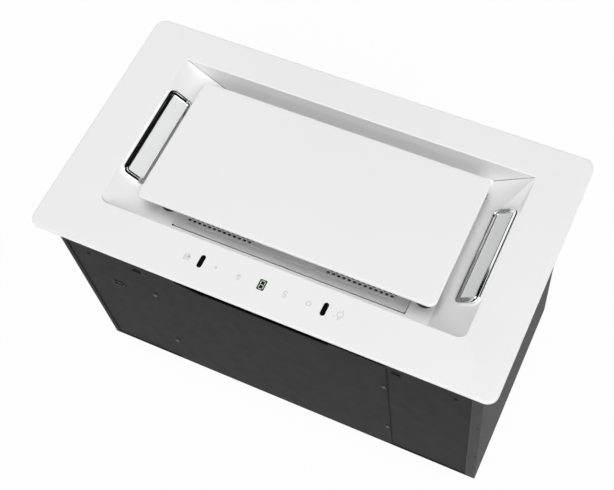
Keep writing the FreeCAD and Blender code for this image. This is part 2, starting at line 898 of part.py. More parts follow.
def cover_screws():
    screws = []
    y0 = casing_front_y
    for side in (-1, 1):
        for z in cover_screw_heights:
            x = cover_screw_centre_x + side * cover_screw_x
            head = along_y(screw_head_radius, y0 - screw_head_height, y0, x, z)
            rim = [edge for edge in head.Edges if edge.BoundBox.YMax < y0 - screw_head_height + 0.01]
            head = head.makeFillet(screw_head_height / 2, rim)
            slot = box(x - screw_head_radius, x + screw_head_radius, y0 - screw_head_height - 1,
                       y0 - screw_head_height / 2, z - 0.35, z + 0.35)
            shank = along_y(screw_shank_radius, y0, y0 + 2 * casing_sheet + 3, x, z)
            screws.append(head.cut(slot).fuse(shank))
    return Part.makeCompound(screws)


def casing_back():
    y1 = casing_rear_y - casing_sheet
    y0 = y1 - casing_sheet
    far = casing_side_x - casing_sheet
    wall = box(-far, far, y0, y1, base_top, wall_top - casing_sheet)
    reach = casing_side_x - top_flange
    wall = wall.fuse(box(-reach, reach, y0, y1, wall_top - casing_sheet, wall_top))
    for side in (-1, 1):
        wall = wall.cut(along_y(fixing_hole_radius, y0 - 1, y1 + 1, side * fixing_hole_x, fixing_hole_z))
    return wall.removeSplitter()


def base_plate():
    plate = box(-casing_side_x, casing_side_x, casing_front_y, casing_rear_y, casing_bottom_z, base_top)
    plate = plate.cut(upright(outlet_hole_radius, casing_sheet + 2, 0, collar_y, casing_bottom_z - 1))
    plate = plate.cut(upright(gland_radius - 2, casing_sheet + 2, gland_x, gland_y, casing_bottom_z - 1))
    for x, y in collar_screw_places():
        plate = plate.cut(upright(screw_shank_radius + screw_hole_gap, casing_sheet + 2, x, y,
                                  casing_bottom_z - 1))
    return plate


# ---- blower ----

def scroll_outline(inset):
    """Spiral of the blower housing in the YZ plane, running down to the outlet mouth."""
    step = scroll_step
    first = V(0, wheel_y, wheel_z)
    second = first + V(0, -step, 0)
    third = second + V(0, 0, -step)
    radii = (scroll_tongue_radius - inset, scroll_tongue_radius + step - inset,
             scroll_tongue_radius + 2 * step - inset)
    quarter = math.sqrt(0.5)
    bottom = first + V(0, 0, -radii[0])
    right = first + V(0, radii[0], 0)
    top = second + V(0, 0, radii[1])
    left = third + V(0, -radii[2], 0)
    arcs = [
        Part.Arc(bottom, first + V(0, radii[0] * quarter, -radii[0] * quarter), right),
        Part.Arc(right, second + V(0, radii[1] * quarter, radii[1] * quarter), top),
        Part.Arc(top, third + V(0, -radii[2] * quarter, radii[2] * quarter), left),
    ]
    mouth_front = V(0, left.y, base_top)
    mouth_rear = V(0, mouth_rear_y - inset, base_top)
    lines = [(left, mouth_front), (mouth_front, mouth_rear), (mouth_rear, bottom)]
    edges = [arc.toShape() for arc in arcs]
    for start, end in lines:
        edges.append(Part.LineSegment(start, end).toShape())
    return Part.Wire(edges)


def scroll_half(side):
    outer = Part.Face(scroll_outline(0)).extrude(V(scroll_side, 0, 0))
    inner = Part.Face(scroll_outline(scroll_wall)).extrude(V(scroll_side - scroll_wall, 0, 0))
    half = outer.cut(inner)
    half = half.cut(box(-1, scroll_side - scroll_wall, scroll_front + scroll_wall,
                        mouth_rear_y - scroll_wall, base_top - 1, base_top + scroll_wall))
    half = half.cut(along_x(inlet_radius, 0, scroll_side + 1, wheel_y, wheel_z))
    foot = box(0, scroll_side + scroll_foot, scroll_front - scroll_foot / 2,
               mouth_rear_y + scroll_foot, base_top, base_top + scroll_foot_sheet)
    foot = foot.cut(box(-1, scroll_side - scroll_wall, scroll_front + scroll_wall,
                        mouth_rear_y - scroll_wall, base_top - 1, base_top + scroll_foot_sheet + 1))
    half = half.fuse(foot).removeSplitter()
    if side < 0:
        half = half.mirror(V(0, 0, 0), V(1, 0, 0))
    return half


def inlet_ring(side):
    """Bellmouth pressed ring at the blower's side inlet."""
    lip = along_x(inlet_lip_radius, scroll_side, scroll_side + inlet_lip_sheet, wheel_y, wheel_z)
    neck = along_x(inlet_radius - 0.3, scroll_side - inlet_neck_length, scroll_side, wheel_y, wheel_z)
    ring = lip.fuse(neck)
    ring = ring.cut(along_x(inlet_radius - inlet_neck_sheet, 0, scroll_side + 10, wheel_y, wheel_z))
    if side < 0:
        ring = ring.mirror(V(0, 0, 0), V(1, 0, 0))
    return ring


def impeller():
    half = wheel_width / 2
    inner = wheel_radius - wheel_blade_depth
    ring = along_x(wheel_radius, -half, half, wheel_y, wheel_z)
    ring = ring.cut(along_x(inner, -half - 1, half + 1, wheel_y, wheel_z))
    waist = along_x(wheel_radius + 1, wheel_ring_width - half, half - wheel_ring_width, wheel_y, wheel_z)
    rings = ring.cut(waist)
    disc = along_x(wheel_radius, -wheel_disc_sheet / 2, wheel_disc_sheet / 2, wheel_y, wheel_z)
    hub = along_x(wheel_hub_radius, -wheel_hub_length / 2, wheel_hub_length / 2, wheel_y, wheel_z)
    blades = []
    depth = wheel_blade_depth - 1.5
    for index in range(wheel_blade_count):
        blade = box(-half, half, -wheel_blade_sheet / 2, wheel_blade_sheet / 2,
                    -depth / 2, depth / 2)
        blade.rotate(V(0, 0, 0), V(1, 0, 0), wheel_blade_lean)
        blade.translate(V(0, wheel_y, wheel_z + (wheel_radius + inner) / 2))
        blade.rotate(V(0, wheel_y, wheel_z), V(1, 0, 0), index * 360.0 / wheel_blade_count)
        blades.append(blade)
    wheel = disc.multiFuse([hub] + list(rings.Solids) + blades)
    return wheel.cut(along_x(shaft_radius, -half, half, wheel_y, wheel_z))


def motor_shaft():
    return along_x(shaft_radius, shaft_start_x, shaft_end_x, wheel_y, wheel_z)


def motor_can():
    can = along_x(motor_radius, motor_start, motor_end, wheel_y, wheel_z)
    can = can.cut(along_x(motor_radius - motor_wall, motor_start + motor_wall, motor_end - motor_wall,
                          wheel_y, wheel_z))
    bosses = []
    for inner_face, direction in ((motor_start, 1), (motor_end, -1)):
        x0 = min(inner_face, inner_face + direction * (motor_wall + bearing_length))
        bosses.append(along_x(bearing_radius + 3, x0, x0 + motor_wall + bearing_length,
                              wheel_y, wheel_z))
    can = can.multiFuse(bosses)
    can = can.cut(along_x(shaft_radius + 1, motor_start - 1, motor_end + 1, wheel_y, wheel_z))
    for x0 in bearing_starts():
        can = can.cut(along_x(bearing_radius, x0, x0 + bearing_length, wheel_y, wheel_z))
    return can


def bearing_starts():
    return (motor_start + motor_wall, motor_end - motor_wall - bearing_length)


def motor_bearings():
    rings = []
    for x0 in bearing_starts():
        ring = along_x(bearing_radius - 0.02, x0, x0 + bearing_length, wheel_y, wheel_z)
        rings.append(ring.cut(along_x(shaft_radius + bearing_clearance, x0 - 1,
                                      x0 + bearing_length + 1, wheel_y, wheel_z)))
    return Part.makeCompound(rings)


def motor_core_span():
    middle = (motor_start + motor_end) / 2
    return middle - motor_rotor_length / 2, middle + motor_rotor_length / 2


def motor_stator():
    x0, x1 = motor_core_span()
    stator = along_x(motor_radius - motor_wall - 0.02, x0, x1, wheel_y, wheel_z)
    return stator.cut(along_x(motor_rotor_radius + motor_air_gap, x0 - 1, x1 + 1, wheel_y, wheel_z))


def motor_rotor():
    x0, x1 = motor_core_span()
    rotor = along_x(motor_rotor_radius, x0, x1, wheel_y, wheel_z)
    return rotor.cut(along_x(shaft_radius, x0 - 1, x1 + 1, wheel_y, wheel_z))


def motor_bracket():
    """Three-armed plate that holds the motor off the right-hand inlet."""
    x0 = scroll_side + bracket_pad_height
    x1 = x0 + bracket_sheet
    plate = along_x(motor_radius, x0, x1, wheel_y, wheel_z)
    parts = []
    for index in range(3):
        arm = box(x0, x1, wheel_y - bracket_arm_width / 2, wheel_y + bracket_arm_width / 2,
                  wheel_z, wheel_z + bracket_reach)
        pad = box(scroll_side + inlet_lip_sheet, x0, wheel_y - bracket_arm_width / 2,
                  wheel_y + bracket_arm_width / 2, wheel_z + inlet_radius + 2,
                  wheel_z + inlet_lip_radius)
        outer_pad = box(scroll_side, x0, wheel_y - bracket_arm_width / 2,
                        wheel_y + bracket_arm_width / 2, wheel_z + inlet_lip_radius + 0.3,
                        wheel_z + bracket_reach)
        for piece in (arm, pad, outer_pad):
            piece.rotate(V(0, wheel_y, wheel_z), V(1, 0, 0), index * 120.0)
            parts.append(piece)
    bracket = plate.multiFuse(parts)
    return bracket.cut(along_x(bracket_ring_inner, x0 - 1, x1 + 1, wheel_y, wheel_z))


# ---- outlet ----

def collar_screw_places():
    places = []
    for index in range(collar_screw_count):
        angle = math.radians(45 + index * 360.0 / collar_screw_count)
        places.append((collar_screw_circle * math.cos(angle),
                       collar_y + collar_screw_circle * math.sin(angle)))
    return places


def outlet_collar():
    """A tube with a ledge inside its top end, and the flange ring round its spigot."""
    flange = upright(collar_flange_radius, collar_flange_sheet, 0, collar_y, collar_top)
    flange = flange.cut(upright(collar_spigot_radius, collar_flange_sheet + 2, 0, collar_y,
                                collar_top - 1))
    for x, y in collar_screw_places():
        flange = flange.cut(upright(screw_shank_radius + screw_hole_gap, collar_flange_sheet + 2,
                                    x, y, collar_top - 1))
    tube_z = collar_top - collar_length
    tube = upright(collar_outer_radius, collar_length, 0, collar_y, tube_z)
    tube = tube.fuse(upright(collar_spigot_radius, collar_length + collar_flange_sheet,
                             0, collar_y, tube_z))
    tube = tube.cut(upright(collar_inner, collar_length - collar_ledge_sheet, 0, collar_y, tube_z))
    tube = tube.cut(upright(collar_inner - collar_ledge, collar_length + collar_flange_sheet + 2,
                            0, collar_y, tube_z - 1))
    pin = flap_pin_radius + flap_pin_clearance
    tube = tube.cut(along_x(pin, -collar_outer_radius - 1, collar_outer_radius + 1,
                            collar_y, flap_pin_z))
    return Part.makeCompound([tube.removeSplitter(), flange])


def collar_screws():
    screws = []
    for x, y in collar_screw_places():
        head = upright(screw_head_radius, screw_head_height, x, y, collar_top - screw_head_height)
        rim = edges_at_height(head, collar_top - screw_head_height)
        head = head.makeFillet(screw_head_height / 2, rim)
        shank = upright(screw_shank_radius, collar_flange_sheet + casing_sheet + 4, x, y, collar_top)
        screws.append(head.fuse(shank))
    return Part.makeCompound(screws)


def flap_pin():
    return along_x(flap_pin_radius, -collar_outer_radius + 0.2, collar_outer_radius - 0.2,
                   collar_y, flap_pin_z)


def flap(side):
    """Half disc on two knuckles; side -1 is the front flap, +1 the rear one."""
    radius = collar_inner - flap_edge_gap
    root = flap_knuckle_radius + flap_root_gap
    z0 = flap_pin_z - flap_sheet / 2
    disc = upright(radius, flap_sheet, 0, collar_y, z0)
    reach = collar_y + side * radius * 2
    start = collar_y + side * root
    half = disc.common(box(-radius, radius, min(start, reach), max(start, reach),
                           z0 - 1, z0 + flap_sheet + 1))
    pieces = []
    knuckles = []
    pitch = flap_knuckle_length + flap_knuckle_gap
    for index in (0, 2):
        first = -2 * pitch + (index + (0 if side < 0 else 1)) * pitch
        x0 = first + flap_knuckle_gap / 2
        x1 = x0 + flap_knuckle_length
        knuckles.append(along_x(flap_knuckle_radius, x0, x1, collar_y, flap_pin_z))
        y0 = min(collar_y, start + side * 2)
        y1 = max(collar_y, start + side * 2)
        pieces.append(box(x0, x1, y0, y1, z0, z0 + flap_sheet))
    whole = half.multiFuse(pieces + knuckles)
    return whole.cut(along_x(flap_pin_radius + flap_pin_clearance, -radius, radius,
                             collar_y, flap_pin_z))


# ---- electrical parts ----

def terminal_box():
    top = base_top + terminal_height
    outer = centred_box(terminal_x, terminal_y, terminal_length, terminal_span, base_top, top)
    return outer.cut(centred_box(terminal_x, terminal_y, terminal_length - 2 * terminal_wall,
                                 terminal_span - 2 * terminal_wall, base_top + terminal_wall, top + 1))


def terminal_lid():
    top = base_top + terminal_height
    return centred_box(terminal_x, terminal_y, terminal_length, terminal_span, top,
                       top + terminal_lid_sheet)


def capacitor():
    body = upright(capacitor_radius, capacitor_length, capacitor_x, terminal_y, base_top)
    return rounded_on_top(body, base_top + capacitor_length, 2.0)


def power_board_box():
    top = base_top + power_box_height
    return rounded_block(power_box_x, power_box_y, power_box_length, power_box_span, 3.0,
                         base_top, top)


def cable_gland():
    """Screwed gland for the supply lead, through the base plate."""
    nut = upright(gland_nut_radius, gland_nut_height, gland_x, gland_y,
                  casing_bottom_z - gland_nut_height)
    neck = upright(gland_radius - 2.1, gland_length, gland_x, gland_y,
                   casing_bottom_z - gland_nut_height)
    cap = upright(gland_radius, gland_nut_height, gland_x, gland_y,
                  casing_bottom_z - 2 * gland_nut_height)
    cap = rounded_cap(cap)
    inside = upright(gland_nut_radius, 4, gland_x, gland_y, base_top)
    gland = nut.multiFuse([neck, cap, inside])
    return gland.cut(upright(gland_bore, 80, gland_x, gland_y, casing_bottom_z - 40))


def rounded_cap(cap):
    bottom = casing_bottom_z - 2 * gland_nut_height
    return cap.makeFillet(2.0, edges_at_height(cap, bottom))


def all_nodes():
    nodes = {
        "face_plate": face_plate(),
        "face_gasket": gasket(),
        "centre_panel": centre_panel(),
        "panel_arms": panel_arms(),
        "panel_studs": panel_studs(),
        "panel_catches": panel_catches(),
        "hinge_brackets": hinge_brackets(),
        "hinge_pins": hinge_pins(),
        "filter_frame": filter_frame(),
        "filter_screen": filter_screen(),
        "filter_core": filter_core(),
        "filter_seat": filter_seat(),
        "filter_clips": filter_clips(),
        "filter_handle": filter_handle(),
        "handle_lugs": handle_lugs(),
        "display_window": display_window(),
        "display_segments": display_segments(),
        "touch_board": touch_board(),
        "control_tray": control_tray(),
        "casing_left": side_wall(-1, left_front_flange),
        "casing_right": side_wall(1, right_front_flange),
        "casing_back": casing_back(),
        "front_cover": front_cover(),
        "cover_screws": cover_screws(),
        "cover_hooks": cover_hooks(),
        "spring_nut": spring_nut(),
        "base_plate": base_plate(),
        "impeller": impeller(),
        "motor_shaft": motor_shaft(),
        "motor_rotor": motor_rotor(),
        "motor_stator": motor_stator(),
        "motor_can": motor_can(),
        "motor_bearings": motor_bearings(),
        "motor_bracket": motor_bracket(),
        "outlet_collar": outlet_collar(),
        "collar_screws": collar_screws(),
        "flap_pin": flap_pin(),
        "flap_front": flap(-1),
        "flap_rear": flap(1),
        "terminal_box": terminal_box(),
        "terminal_lid": terminal_lid(),
        "capacitor": capacitor(),
        "power_board_box": power_board_box(),
        "cable_gland": cable_gland(),
    }
    for name, side in (("left", -1), ("right", 1)):
        nodes["lamp_bezel_" + name] = lamp_bezel(side)
        nodes["lamp_lens_" + name] = lamp_lens(side)
        nodes["lamp_body_" + name] = lamp_body(side)
        nodes["led_board_" + name] = led_board(side)
        nodes["sensor_window_" + name] = sensor_window(side)
        nodes["scroll_" + name] = scroll_half(side)
        nodes["inlet_ring_" + name] = inlet_ring(side)
    nodes["front_panel_left"] = front_wall(-1, left_front_flange)
    nodes["front_panel_right"] = front_wall(1, right_front_flange)
    return nodes


def main():
    os.makedirs("parts", exist_ok=True)
    for name, shape in all_nodes().items():
        volume = sum(solid.Volume for solid in shape.Solids)
        print(name, len(shape.Solids), "solids", round(volume / 1000.0, 2), "cm3", shape.isValid())
        shape.exportStep(os.path.join("parts", name + ".step"))


main()
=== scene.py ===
import bpy
import bmesh
import json
import math
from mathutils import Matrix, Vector


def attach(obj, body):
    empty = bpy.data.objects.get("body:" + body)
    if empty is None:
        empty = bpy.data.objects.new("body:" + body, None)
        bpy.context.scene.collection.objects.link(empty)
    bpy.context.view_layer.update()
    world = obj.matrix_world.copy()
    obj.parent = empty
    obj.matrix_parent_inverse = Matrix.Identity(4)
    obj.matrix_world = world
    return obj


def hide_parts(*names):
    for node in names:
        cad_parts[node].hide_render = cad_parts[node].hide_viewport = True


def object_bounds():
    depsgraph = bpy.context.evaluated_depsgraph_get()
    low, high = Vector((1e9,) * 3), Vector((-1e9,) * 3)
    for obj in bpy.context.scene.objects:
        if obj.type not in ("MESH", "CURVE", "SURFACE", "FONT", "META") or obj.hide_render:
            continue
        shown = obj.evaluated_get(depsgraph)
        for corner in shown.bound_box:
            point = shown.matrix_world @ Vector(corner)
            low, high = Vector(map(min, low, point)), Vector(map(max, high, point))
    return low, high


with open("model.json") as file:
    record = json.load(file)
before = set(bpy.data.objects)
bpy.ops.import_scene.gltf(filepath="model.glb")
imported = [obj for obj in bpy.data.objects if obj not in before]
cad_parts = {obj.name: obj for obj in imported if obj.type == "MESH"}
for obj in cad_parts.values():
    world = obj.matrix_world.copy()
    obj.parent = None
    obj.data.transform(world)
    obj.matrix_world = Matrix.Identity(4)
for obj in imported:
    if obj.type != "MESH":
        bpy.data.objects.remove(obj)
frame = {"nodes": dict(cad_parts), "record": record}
cad_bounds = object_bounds()
SLOT_OF = {s["node"]: s["material_slot"] for s in frame["record"]["subparts"]}
BODY_OF = {n: b for b, ns in frame["record"]["behaviour"]["bodies"].items() for n in ns}

# Places and sizes are in millimetres, in the frame of the solids, and MM turns them into metres.
# Heights and ends that are nearer than TOUCH count as the same.
MM = 0.001
TOUCH = 0.01

# face plate and its recess
FACE_TOP = 3.0
RECESS_X, RECESS_Y = 3.0, 6.0
RECESS_HALF = 206.0
RECESS_DEPTH = 35.0
SLOPE_RUN = 45.0
SLOPE = math.atan2(RECESS_DEPTH, SLOPE_RUN)
FLOOR_Z = FACE_TOP - RECESS_DEPTH
REAR_WALL = RECESS_Y + 98.5
CREASE_LINE_RADIUS = 0.45
CREASE_LINE_SUNK = 0.1

# centre panel
PANEL_WIDTH, PANEL_SPAN = 339.0, 158.5
PANEL_TOP = 2.5
PANEL_SHEET = 1.2
PANEL_CORNER = 8.0
PANEL_RIM = 1.8

# lamp rings and lenses
LAMP_WIDTH, LAMP_LENGTH, LAMP_BAR = 31.6, 116.6, 7.0
LAMP_THICK = 3.0
LAMP_CORNER = 8.0
LAMP_RIM = 1.3
LAMP_BELOW_EDGE = 2.4
LAMP_Y = RECESS_Y - 0.3
CHANNEL_LAND, CHANNEL_SIDE, CHANNEL_DEPTH = 0.9, 0.5, 0.6
LENS_THICK = 2.0
LENS_CORNER = 2.0
LENS_RIM = 0.4
LENS_LAP = 0.8

# sensor windows, display and its digit
CONTROL_X, CONTROL_Y = 1.5, -116.0
WINDOW_FOOT = -3.0
SENSOR_X = 69.2
SENSOR_WIDTH, SENSOR_SPAN = 5.4, 15.0
SENSOR_CORNER = 2.69
SENSOR_RIM = 0.25
DISPLAY_WIDTH, DISPLAY_SPAN = 8.0, 12.0
DISPLAY_TOP = FACE_TOP - 0.3
DISPLAY_CORNER = 1.2
DISPLAY_RIM = 0.2
DIGIT_TOP = FACE_TOP - 0.1
DIGIT_PITCH, DIGIT_BAR, DIGIT_REACH = 4.5, 0.8, 3.7
DIGIT_GAP = 0.2
DIGIT_CUT = 0.35

# sockets for the panel's studs
CATCH_X, CATCH_Y = 148.5, -50.75
CATCH_RADIUS, CATCH_HEIGHT = 11.5, 12.0
CATCH_RIM = 1.0
SOCKET_WALL, SOCKET_DEPTH = 6.3, 8.0

# perforated screen: two fields of staggered oval holes
SCREEN_Z = -33.0
SCREEN_HALF, SCREEN_HALF_SPAN = 125.5, 71.5
SCREEN_SHEET = 0.8
HOLE_PITCH, ROW_PITCH = 6.0, 3.5
HOLES, ROWS = 13, 40
HOLE_X, HOLE_Y = 2.15, 1.45
FIELD_X, FIELD_LEFT = 82.0, 41.2

# printed marks, with the middle of each
PRINT_Z = FACE_TOP + 0.015
PRINT_THICK = 0.012
ICON_Y = CONTROL_Y - 0.5
LIST_X, DOT_X, DIAL_X, LETTER_X, RING_X, BULB_X = -83.5, -50.4, -23.8, 27.4, 53.6, 87.6
LINE, FINE_LINE = 0.8, 0.7

# meshes taken from the solids, with their angles in degrees
MERGE_WITHIN = 0.002
FLAT_WITHIN = 0.4
EASED_WIDTH = 0.35
EASED_ANGLE = 40.0
CURVE_ANGLE = 30.0
SHEET_EDGES = {"casing_left", "casing_right", "casing_back", "front_cover", "front_panel_left",
               "front_panel_right", "base_plate"}

# camera fitted to the photo: lens and shift in pixels, place in metres and turn in degrees
PHOTO_WIDTH = 614
SENSOR_SIZE = 36.0
FOCAL_LENGTH = 1119.177
CAMERA_SHIFT = (-26.07, 27.95)
CAMERA_PLACE = (0.342622, -0.506123, 0.996232)
CAMERA_TURN = (27.01805, 4.29224, 24.81349)

# strength of the lights, and the floor in metres
SKY = 0.14
TOP_LIGHT = 1.36
FRONT_LIGHT = 1.3
RIGHT_LIGHT = 1.6
FLOOR_WHITE = 0.96
FLOOR_SIZE = 8
FLOOR_GAP = 0.0005


# ---------------------------------------------------------------- hand tools

def deselect():
    """Nothing selected and nothing being edited, as every operator below expects."""
    if bpy.context.object and bpy.context.object.mode != "OBJECT":
        bpy.ops.object.mode_set(mode="OBJECT")
    bpy.ops.object.select_all(action="DESELECT")


def pick(obj):
    """Make one object the only selected and active one."""
    deselect()
    obj.select_set(True)
    bpy.context.view_layer.objects.active = obj
    return obj


def edit(obj):
    pick(obj)
    bpy.ops.object.mode_set(mode="EDIT")


def leave_edit():
    bpy.ops.object.mode_set(mode="OBJECT")


def apply_place(obj):
    """Put the place, turn and scale into the mesh, so that the object sits at the origin."""
    pick(obj)
    bpy.ops.object.transform_apply(location=True, rotation=True, scale=True)
    return obj


def apply_modifiers(obj):
    pick(obj)
    for modifier in list(obj.modifiers):
        bpy.ops.object.modifier_apply(modifier=modifier.name)
    return obj


def put(name, data):
    """A new object in the scene, for a mesh, light or camera."""
    obj = bpy.data.objects.new(name, data)
    bpy.context.scene.collection.objects.link(obj)
    return obj


def facing(direction):
    """The turn that points an object's own Z axis in a direction."""
    return Vector(direction).to_track_quat("Z", "Y").to_euler()


def select_where(obj, kind, test):
    """In edit mode, select only the faces or edges that pass the test."""
    bm = bmesh.from_edit_mesh(obj.data)
    for group in (bm.verts, bm.edges, bm.faces):
        for item in group:
            item.select = False
    bm.select_mode = {kind}
    for item in {"EDGE": bm.edges, "FACE": bm.faces}[kind]:
        if test(item):
            item.select = True
    bm.select_flush_mode()
    bmesh.update_edit_mesh(obj.data)


def level(co, z):
    return abs(co.z - z * MM) < TOUCH * MM


def flat_at(face, z):
    return abs(face.normal.z) > 0.99 and level(face.calc_center_median(), z)


def face_outwards():
    """In edit mode, turn every face to the outside."""
    bpy.ops.mesh.select_all(action="SELECT")
    bpy.ops.mesh.normals_make_consistent(inside=False)


def smooth(obj, angle):
    """Smooth shading up to that angle, with large flat faces kept flat."""
    pick(obj)
    bpy.ops.object.shade_smooth_by_angle(angle=math.radians(angle))
    weighted = obj.modifiers.new("flat_faces", "WEIGHTED_NORMAL")
    weighted.keep_sharp = True
    return apply_modifiers(obj)


def ease_edges(obj):
    """Ease the sharp edges of a sheet-steel piece."""
    bevel = obj.modifiers.new("eased_edges", "BEVEL")
    bevel.width = EASED_WIDTH * MM
    bevel.segments = 2
    bevel.limit_method = "ANGLE"
    bevel.angle_limit = math.radians(EASED_ANGLE)
    bevel.use_clamp_overlap = True
    return apply_modifiers(obj)


def thicken(obj, thickness):
    """Give a flat sheet its thickness, below the side that it was drawn on."""
    thick = obj.modifiers.new("thickness", "SOLIDIFY")
    thick.thickness = thickness * MM
    thick.offset = -1.0
    return apply_modifiers(obj)


def repeat(obj, count, offset):
    array = obj.modifiers.new("repeat", "ARRAY")
    array.count = count
    array.use_relative_offset = False
    array.use_constant_offset = True
    array.constant_offset_displace = [v * MM for v in offset]
    return apply_modifiers(obj)


def join(name, pieces):
    deselect()
    for piece in pieces:
        piece.select_set(True)
    bpy.context.view_layer.objects.active = pieces[0]
    bpy.ops.object.join()
    obj = bpy.context.object
    obj.name = name
    return obj


def block(name, low, high):
    """A box between two corners."""
    deselect()
    centre = [(a + b) / 2 * MM for a, b in zip(low, high)]
    bpy.ops.mesh.primitive_cube_add(size=1, location=centre)
    obj = bpy.context.object
    obj.name = name
    obj.scale = [(b - a) * MM for a, b in zip(low, high)]
    return apply_place(obj)


def drum(name, radius, height, foot, sides):
    """An upright cylinder that stands on the point given."""
    deselect()
    middle = (foot[0] * MM, foot[1] * MM, (foot[2] + height / 2) * MM)
    bpy.ops.mesh.primitive_cylinder_add(vertices=sides, radius=radius * MM, depth=height * MM,
                                        location=middle)
    obj = bpy.context.object
    obj.name = name
    return apply_place(obj)


def sheet(name, x0, x1, y0, y1, z, across=1, along=1):
    """A flat rectangle, divided into so many faces across and along."""
    deselect()
    bpy.ops.mesh.primitive_grid_add(x_subdivisions=across, y_subdivisions=along, size=1,
                                    location=((x0 + x1) / 2 * MM, (y0 + y1) / 2 * MM, z * MM))
    obj = bpy.context.object
    obj.name = name
    obj.scale = ((x1 - x0) * MM, (y1 - y0) * MM, 1)
    return apply_place(obj)


def slab(name, x, y, width, span, low, high, corner, steps):
    """A block whose four upright edges are rounded."""
    obj = block(name, (x - width / 2, y - span / 2, low), (x + width / 2, y + span / 2, high))
    edit(obj)
    select_where(obj, "EDGE", lambda e: (e.verts[0].co - e.verts[1].co).xy.length < TOUCH * MM)
    bpy.ops.mesh.bevel(offset=corner * MM, segments=steps, affect="EDGES")
    leave_edit()
    return obj


def round_rim(obj, z, radius, steps):
    """Round every edge at height z that a side wall meets."""
    edit(obj)
    select_where(obj, "EDGE", lambda e: all(level(v.co, z) for v in e.verts)
                 and any(abs(f.normal.z) < 0.5 for f in e.link_faces))
    bpy.ops.mesh.bevel(offset=radius * MM, segments=steps, affect="EDGES")
    leave_edit()
    return obj


def open_frame(obj, low, high, bar):
    """Inset the top and the underside, take out both many-sided middles and join their rims."""
    edit(obj)
    for z in (low, high):
        select_where(obj, "FACE", lambda f: flat_at(f, z))
        bpy.ops.mesh.inset(thickness=bar * MM)
    select_where(obj, "FACE", lambda f: len(f.verts) > 4)
    bpy.ops.mesh.delete(type="FACE")
    select_where(obj, "EDGE", lambda e: e.is_boundary)
    bpy.ops.mesh.bridge_edge_loops()
    face_outwards()
    leave_edit()
    return obj


def hollow(obj, z, wall, push):
    """Leave a wall round the flat face at height z, and push the rest of it in along Z."""
    edit(obj)
    select_where(obj, "FACE", lambda f: flat_at(f, z))
    bpy.ops.mesh.inset(thickness=wall * MM)
    bpy.ops.mesh.extrude_region_move(TRANSFORM_OT_translate={"value": (0, 0, push * MM)})
    leave_edit()
    return obj


# ---------------------------------------------------------------- finishes

def surface(name, colour, roughness, **sockets):
    """A material of one even colour. A socket is named with _ for each space."""
    material = bpy.data.materials.new(name)
    material.use_nodes = True
    inputs = material.node_tree.nodes["Principled BSDF"].inputs
    inputs["Base Color"].default_value = (*colour, 1)
    inputs["Roughness"].default_value = roughness
    for socket, value in sockets.items():
        inputs[socket.replace("_", " ")].default_value = value
    return material


class Finish:
    """A material with helpers that add its grain."""

    def __init__(self, name, colour, roughness, metallic=0.0, **sockets):
        self.material = surface(name, colour, roughness, Metallic=metallic, **sockets)
        self.tree = self.material.node_tree
        self.shader = self.tree.nodes["Principled BSDF"]
        self.place = self.tree.nodes.new("ShaderNodeTexCoord").outputs["Object"]

    def link(self, source, target):
        self.tree.links.new(source, target)

    def stretched(self, scale):
        mapping = self.tree.nodes.new("ShaderNodeMapping")
        mapping.inputs["Scale"].default_value = scale
        self.link(self.place, mapping.inputs["Vector"])
        return mapping.outputs["Vector"]

    def noise(self, scale, detail, stretch=(1, 1, 1)):
        node = self.tree.nodes.new("ShaderNodeTexNoise")
        node.inputs["Scale"].default_value = scale
        node.inputs["Detail"].default_value = detail
        self.link(self.stretched(stretch), node.inputs["Vector"])
        return node.outputs["Fac"]

    def vary_roughness(self, factor, low, high, start=0.3, end=0.7):
        node = self.tree.nodes.new("ShaderNodeMapRange")
        node.inputs["From Min"].default_value = start
        node.inputs["From Max"].default_value = end
        node.inputs["To Min"].default_value = low
        node.inputs["To Max"].default_value = high
        self.link(factor, node.inputs["Value"])
        self.link(node.outputs["Result"], self.shader.inputs["Roughness"])

    def vary_colour(self, factor, dark, light, start=0.3, end=0.7):
        ramp = self.tree.nodes.new("ShaderNodeValToRGB")
        ramp.color_ramp.elements[0].position = start
        ramp.color_ramp.elements[1].position = end
        ramp.color_ramp.elements[0].color = (*dark, 1)
        ramp.color_ramp.elements[1].color = (*light, 1)
        self.link(factor, ramp.inputs["Fac"])
        self.link(ramp.outputs["Color"], self.shader.inputs["Base Color"])

    def bump(self, factor, strength, distance):
        node = self.tree.nodes.new("ShaderNodeBump")
        node.inputs["Strength"].default_value = strength
        node.inputs["Distance"].default_value = distance
        self.link(factor, node.inputs["Height"])
        self.link(node.outputs["Normal"], self.shader.inputs["Normal"])
        return self


def toned(colour, share):
    """A colour made lighter or darker by a share, and never above white."""
    return tuple(min(1.0, c * share) for c in colour)


def white_enamel():
    f = Finish("white_enamel", (0.93, 0.93, 0.93), 0.38, Coat_Weight=0.1, Coat_Roughness=0.15)
    f.vary_colour(f.noise(7.0, 2.0), (0.922, 0.922, 0.922), (0.938, 0.938, 0.938))
    f.vary_roughness(f.noise(140.0, 3.0), 0.34, 0.42)
    return f.bump(f.noise(900.0, 2.0), 0.03, 0.0001).material


def charcoal_coat(name, tone):
    f = Finish(name, (tone, tone, tone), 0.62, Specular_IOR_Level=0.07)
    f.vary_colour(f.noise(2.0, 1.0), (tone * 0.96,) * 3, (tone * 1.04,) * 3)
    f.vary_roughness(f.noise(60.0, 3.0), 0.6, 0.66)
    return f.bump(f.noise(2600.0, 2.0), 0.05, 0.0001).material


def chrome():
    f = Finish("polished_chrome", (0.88, 0.885, 0.89), 0.05, 1.0)
    f.vary_roughness(f.noise(180.0, 3.0), 0.03, 0.07)
    return f.material


